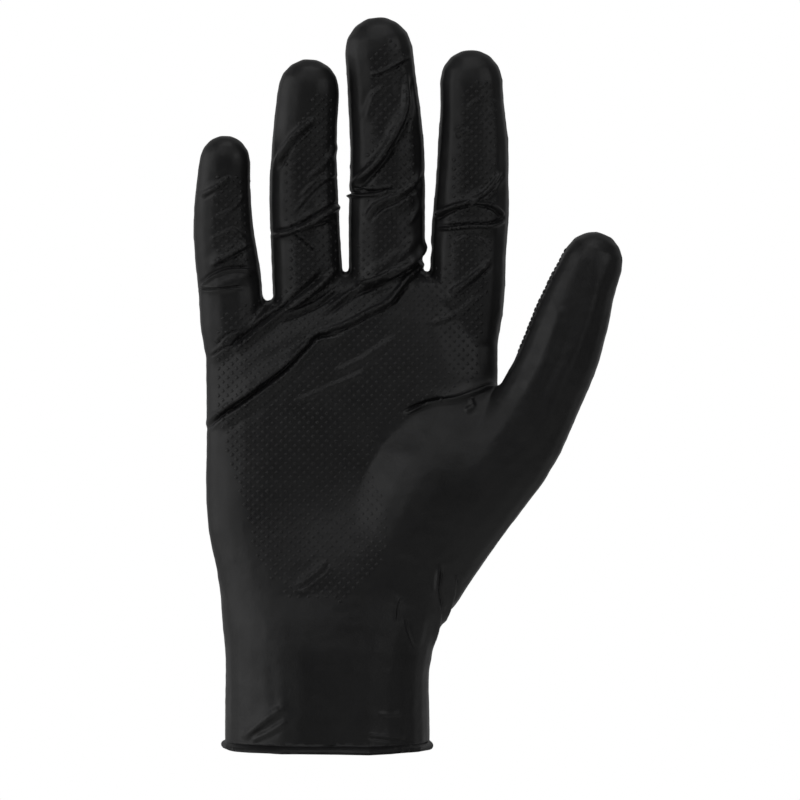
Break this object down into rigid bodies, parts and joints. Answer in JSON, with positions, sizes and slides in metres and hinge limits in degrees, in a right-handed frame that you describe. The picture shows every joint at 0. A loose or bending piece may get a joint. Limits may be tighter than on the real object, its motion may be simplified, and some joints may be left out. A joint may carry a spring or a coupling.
{
  "type": "nitrile exam glove",
  "caption": "Thin black dipped glove in the shape it keeps on a right hand, with a beaded cuff and a raised grip texture.",
  "frame": {"origin": "middle of the cuff's opening, level with the underside of its bead; a hand's wrist holds the glove up there", "axes": "+Z from the cuff to the fingertips, +X towards the thumb, -Y out of the palm"},
  "size_m": [0.141, 0.0528, 0.24],
  "materials": {
    "nitrile": "black, satin, with a fine raised grip texture on the palm and fingers"
  },
  "bodies": {
    "root": {"glove": "nitrile"}
  },
  "joints": []
}
